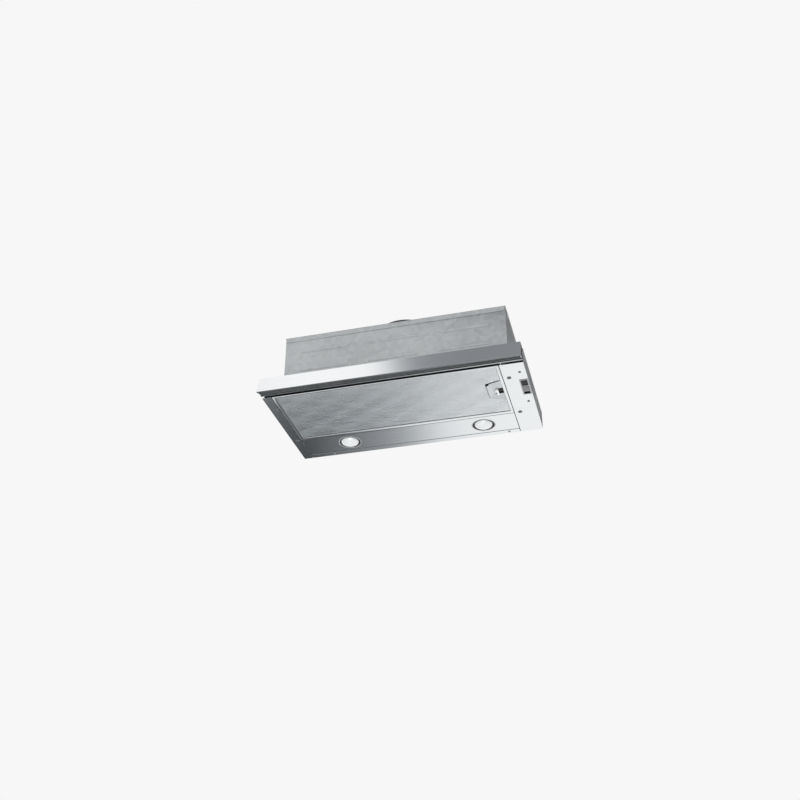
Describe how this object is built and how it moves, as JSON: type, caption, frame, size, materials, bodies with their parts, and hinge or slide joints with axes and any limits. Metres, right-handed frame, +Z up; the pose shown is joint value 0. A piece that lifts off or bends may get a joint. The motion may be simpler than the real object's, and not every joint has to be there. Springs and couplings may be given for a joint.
{
  "type": "pull out range hood",
  "caption": "Slim built-in cooker hood for a wall cabinet: steel underside with grease filter, lamps and slide switch, pull-out front, blower box and round duct outlet.",
  "frame": {"origin": "on the cabinet seat: the top face of the raised rail along the rear of the lower case, on the centre line, half way across the rail", "axes": "+X along the hood's width to the user's right, +Y towards the wall, +Z up"},
  "size_m": [0.598, 0.336, 0.2323],
  "materials": {
    "steel": "brushed along the width",
    "zinc": "galvanised, dull",
    "mesh": "fine mesh, satin",
    "bright": "bright plated",
    "black_plastic": "moulded, matte",
    "grey_plastic": "moulded, satin",
    "white_plastic": "moulded, matte",
    "glass": "frosted, bright",
    "paint": "dark varnish"
  },
  "bodies": {
    "hood": {"case_top": "zinc", "case_side_left": "zinc", "case_side_right": "zinc", "case_rear": "zinc", "left_strip": "steel", "control_strip": "steel", "lamp_panel": "steel", "rear_trim": "steel", "runner_outer_left": "zinc", "runner_outer_right": "zinc", "lamp_housing_left": "grey_plastic", "lamp_housing_right": "grey_plastic", "lamp_bulb_left": "glass", "lamp_bulb_right": "glass", "lamp_lens_left": "glass", "lamp_lens_right": "glass", "switch_body": "black_plastic", "switch_screw_front": "bright", "switch_screw_rear": "bright", "strip_screw_left_front": "bright", "strip_screw_left_rear": "bright", "strip_screw_right_front": "bright", "strip_screw_right_rear": "bright", "motor_box": "zinc", "motor_box_lid": "zinc", "outlet_collar": "black_plastic", "damper_pin": "bright", "blower_scroll": "black_plastic", "motor": "zinc", "motor_bracket": "zinc", "terminal_box": "white_plastic", "cable_gland": "black_plastic", "transformer": "paint", "capacitor": "white_plastic", "microswitch": "black_plastic", "side_bracket_left": "zinc", "side_bracket_right": "zinc"},
    "drawer": {"fascia": "steel", "fascia_cap_left": "steel", "fascia_cap_right": "steel", "drawer_frame": "zinc", "drawer_filter_frame": "steel", "drawer_filter_mesh": "mesh", "runner_inner_left": "zinc", "runner_inner_right": "zinc"},
    "runner_middles": {"runner_middle_left": "zinc", "runner_middle_right": "zinc"},
    "drawer_latch": {"drawer_filter_latch": "black_plastic"},
    "filter": {"filter_frame": "steel", "filter_skin": "mesh", "filter_mesh": "mesh", "latch_pocket": "steel"},
    "latch": {"filter_latch": "bright"},
    "light_knob": {"light_slider": "black_plastic"},
    "speed_knob": {"speed_slider": "grey_plastic"},
    "rotor": {"impeller": "zinc", "motor_shaft": "bright"},
    "flap_front": {"damper_flap_front": "black_plastic"},
    "flap_rear": {"damper_flap_rear": "black_plastic"}
  },
  "joints": [
    {"name": "drawer_slide", "type": "slide", "parent": "hood", "child": "drawer", "axis": [0, -1, 0], "range_m": [0, 0.165]},
    {"name": "runner_slide", "type": "slide", "parent": "hood", "child": "runner_middles", "axis": [0, -1, 0], "range_m": [0, 0.0825]},
    {"name": "drawer_latch_slide", "type": "slide", "parent": "drawer", "child": "drawer_latch", "axis": [1, 0, 0], "range_m": [0, 0.005]},
    {"name": "filter_drop", "type": "hinge", "parent": "hood", "child": "filter", "pos_m": [-0.2765, -0.185, -0.044], "axis": [0, 1, 0], "range_deg": [0, 70]},
    {"name": "latch_slide", "type": "slide", "parent": "filter", "child": "latch", "axis": [-1, 0, 0], "range_m": [0, 0.005], "stiffness_N_per_m": 300, "springref_m": -0.003},
    {"name": "light_slide", "type": "slide", "parent": "hood", "child": "light_knob", "axis": [0, 1, 0], "range_m": [0, 0.006]},
    {"name": "speed_slide", "type": "slide", "parent": "hood", "child": "speed_knob", "axis": [0, 1, 0], "range_m": [0, 0.011]},
    {"name": "impeller_spin", "type": "hinge", "parent": "hood", "child": "rotor", "pos_m": [0, -0.1768, 0.0689], "axis": [1, 0, 0], "continuous": true},
    {"name": "flap_front_swing", "type": "hinge", "parent": "hood", "child": "flap_front", "pos_m": [0, -0.1285, 0.1442], "axis": [-1, 0, 0], "range_deg": [0, 70]},
    {"name": "flap_rear_swing", "type": "hinge", "parent": "hood", "child": "flap_rear", "pos_m": [0, -0.1285, 0.1442], "axis": [1, 0, 0], "range_deg": [0, 70]}
  ],
  "couplings": [
    {"joint": "runner_slide", "follows": "drawer_slide", "ratio": 0.5}
  ]
}
